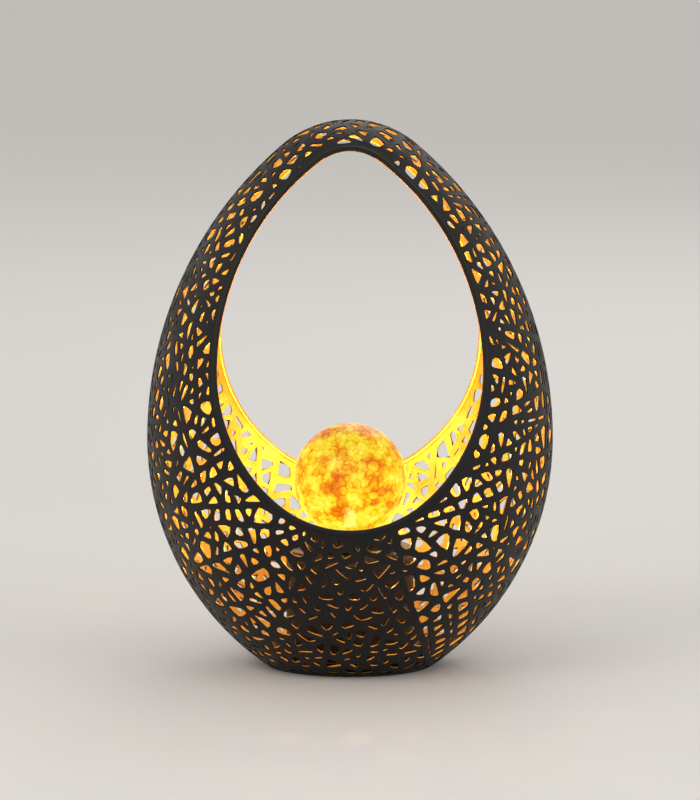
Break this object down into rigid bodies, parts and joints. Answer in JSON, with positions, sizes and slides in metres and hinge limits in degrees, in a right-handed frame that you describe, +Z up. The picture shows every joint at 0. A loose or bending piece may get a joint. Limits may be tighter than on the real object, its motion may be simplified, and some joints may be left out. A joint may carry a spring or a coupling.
{
  "type": "portable solar lamp",
  "caption": "Free-standing solar lamp: pierced metal egg open front and back, crackle-glass globe on a twist-in lamp module with solar cell, battery and slide switch.",
  "frame": {"origin": "middle of the flat bottom, on the table", "axes": "+Z up through the egg's tip, +X to the right seen from the front, front opening towards -Y"},
  "size_m": [0.185, 0.1792, 0.25],
  "materials": {
    "black_paint": "satin black outside, warm gold lacquer inside",
    "rim_paint": "satin black on drawn wire",
    "base_paint": "satin black",
    "module_plastic": "fine-grained black moulding",
    "lid_plastic": "fine-grained black moulding",
    "collar_plastic": "black moulding",
    "socket_plastic": "black moulding",
    "seal_rubber": "grey silicone",
    "screw_steel": "plated",
    "amber_glass": "crackled amber glass",
    "cell_laminate": "dark blue cell under clear resin",
    "led_lens": "clear warm lens, lit",
    "holder_plastic": "white moulding",
    "board_laminate": "green solder mask",
    "chip_resin": "moulded resin",
    "choke_ferrite": "ferrite",
    "battery_wrap": "plain shrink sleeve",
    "contact_brass": "plated strip",
    "spring_steel": "plated wire",
    "switch_metal": "pressed can",
    "slider_plastic": "pale moulding",
    "lead_red": "insulated wire",
    "lead_black": "insulated wire"
  },
  "bodies": {
    "shade": {"front_shell": "black_paint", "rear_shell": "black_paint", "front_rim": "rim_paint", "rear_rim": "rim_paint", "base_plate": "base_paint", "socket_ring": "socket_plastic", "socket_screws": "screw_steel"},
    "lamp_module": {"module_housing": "module_plastic", "module_lid": "lid_plastic", "lid_seal": "seal_rubber", "lid_screws": "screw_steel", "globe": "amber_glass", "globe_seal": "seal_rubber", "globe_collar": "collar_plastic", "solar_cell": "cell_laminate", "led": "led_lens", "led_holder": "holder_plastic", "cell_leads": "lead_red", "circuit_board": "board_laminate", "board_screws": "screw_steel", "controller_chip": "chip_resin", "boost_choke": "choke_ferrite", "battery": "battery_wrap", "positive_contact": "contact_brass", "negative_strip": "contact_brass", "switch_body": "switch_metal", "switch_leads": "lead_black"},
    "battery_cap": {"battery_cap": "module_plastic", "cap_seal": "seal_rubber", "negative_spring": "spring_steel"},
    "switch": {"switch_slider": "slider_plastic"}
  },
  "joints": [
    {"name": "module_twist", "type": "hinge", "parent": "shade", "child": "lamp_module", "pos_m": [0, 0, 0], "axis": [0, 0, 1], "range_deg": [0, 34]},
    {"name": "battery_cap_twist", "type": "hinge", "parent": "lamp_module", "child": "battery_cap", "pos_m": [0.013, 0, 0], "axis": [0, 0, 1], "range_deg": [0, 60]},
    {"name": "switch_slide", "type": "slide", "parent": "lamp_module", "child": "switch", "axis": [0, -1, 0], "range_m": [0, 0.003]}
  ]
}
